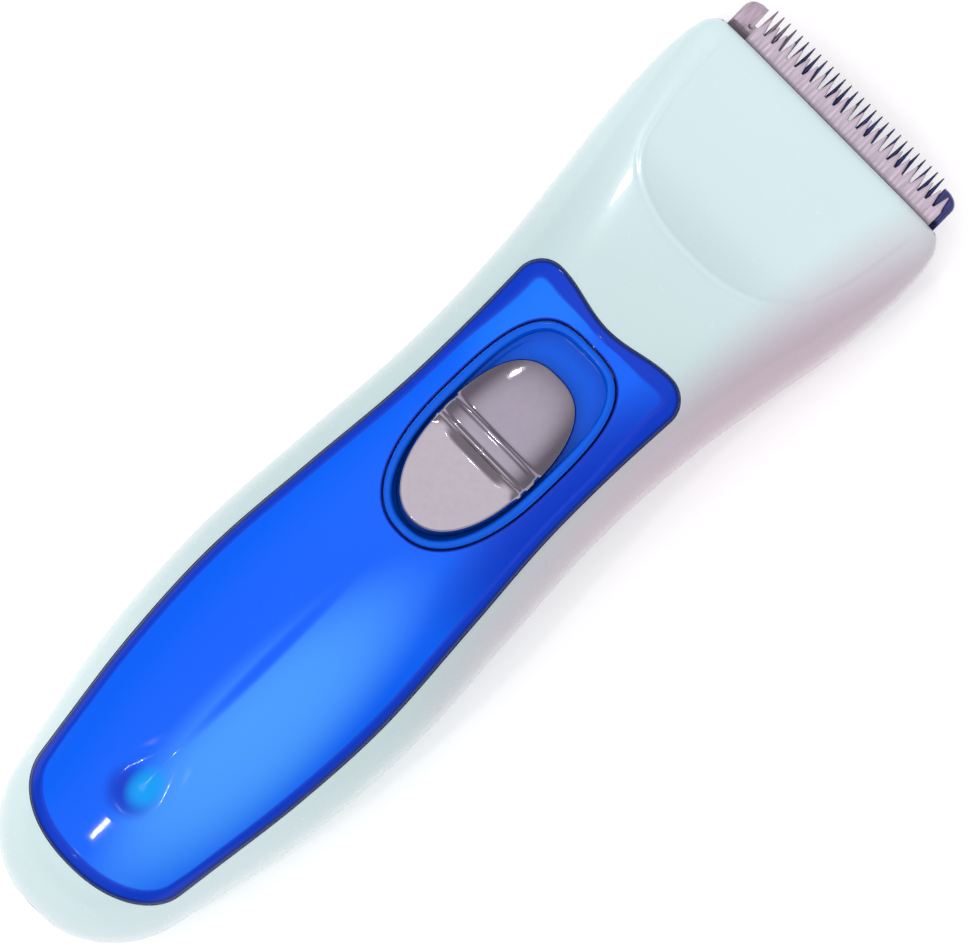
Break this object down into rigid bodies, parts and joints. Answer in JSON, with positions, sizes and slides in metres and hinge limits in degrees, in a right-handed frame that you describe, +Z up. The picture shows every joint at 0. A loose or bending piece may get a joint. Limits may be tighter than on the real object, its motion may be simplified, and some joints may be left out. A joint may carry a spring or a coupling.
{
  "type": "hair clipper",
  "caption": "Cordless hair clipper: waisted two-shell body, inset thumb panel, sliding switch, and a tilted fixed comb with a reciprocating cutter driven by a motor crank.",
  "frame": {"origin": "on the surface that the clipper lies on, under the middle of its bounding box", "axes": "+Y runs from the tail to the blade, +Z is up through the switch side, +X is the right of someone who looks down on the switch with the blade away from them"},
  "size_m": [0.05, 0.1699, 0.0389],
  "materials": {
    "pearl_plastic": "glossy pale mint pearl",
    "blue_plastic": "glossy translucent blue over a dark rim",
    "chrome_plate": "polished plating with a slight pink tint",
    "blade_steel": "ground and honed",
    "comb_steel": "dark blued and ground",
    "fastener_steel": "zinc plated",
    "spring_steel": "bright rolled strip",
    "motor_steel": "plated sheet",
    "bronze": "sintered, oiled",
    "copper": "enamelled winding wire",
    "rubber": "matt black",
    "white_plastic": "moulded acetal",
    "dark_plastic": "moulded black",
    "cell_sleeve": "shrink sleeve",
    "board": "solder mask on glass laminate",
    "led_resin": "tinted clear resin",
    "clear_plastic": "clear moulding",
    "lead_red": "soft insulation",
    "lead_black": "soft insulation"
  },
  "bodies": {
    "housing": {"front_shell": "pearl_plastic", "rear_shell": "pearl_plastic", "blue_panel": "blue_plastic", "switch_seat": "blue_plastic", "slide_switch_body": "fastener_steel", "circuit_board": "board", "board_screw_1": "fastener_steel", "board_screw_2": "fastener_steel", "charge_controller": "dark_plastic", "smoothing_capacitor": "motor_steel", "charge_led": "led_resin", "light_guide": "clear_plastic", "battery_cell_left": "cell_sleeve", "battery_cell_right": "cell_sleeve", "battery_link": "spring_steel", "battery_tab_left": "spring_steel", "battery_tab_right": "spring_steel", "battery_lead_left": "lead_black", "battery_lead_right": "lead_red", "charging_socket": "dark_plastic", "charging_socket_pin": "fastener_steel", "motor_can": "motor_steel", "motor_end_cap": "dark_plastic", "motor_bearing": "bronze", "motor_damper_rear": "rubber", "motor_damper_front": "rubber", "motor_cradle": "white_plastic", "motor_terminal_1": "spring_steel", "motor_terminal_2": "spring_steel", "motor_lead_left": "lead_black", "motor_lead_right": "lead_red", "housing_screw_1": "fastener_steel", "housing_screw_2": "fastener_steel", "housing_screw_3": "fastener_steel", "housing_screw_4": "fastener_steel"},
    "switch": {"switch_button": "chrome_plate", "button_stem": "dark_plastic", "slide_switch_knob": "dark_plastic"},
    "crank": {"motor_shaft": "fastener_steel", "motor_armature": "copper", "drive_crank": "dark_plastic", "crank_pin": "fastener_steel"},
    "blade_set": {"blade_holder": "white_plastic", "comb_blade": "comb_steel", "comb_screw_1": "fastener_steel", "comb_screw_2": "fastener_steel", "pressure_spring": "spring_steel"},
    "cutter": {"cutter_blade": "blade_steel", "cutter_carrier": "white_plastic"}
  },
  "joints": [
    {"name": "switch_slide", "type": "slide", "parent": "housing", "child": "switch", "axis": [0, 0.9972, -0.075], "range_m": [0, 0.0046]},
    {"name": "crank_spin", "type": "hinge", "parent": "housing", "child": "crank", "pos_m": [0, 0.05, 0.0165], "axis": [0, 1, 0], "range_deg": [0, 180]},
    {"name": "blade_set_swing", "type": "hinge", "parent": "housing", "child": "blade_set", "pos_m": [0, 0.05692, 0.00589], "axis": [-1, 0, 0], "range_deg": [0, 75]},
    {"name": "cutter_slide", "type": "slide", "parent": "blade_set", "child": "cutter", "axis": [1, 0, 0], "range_m": [-0.0028, 0]}
  ],
  "couplings": [
    {"joint": "crank_spin", "follows": "cutter_slide", "rad_per_m": -1122}
  ]
}
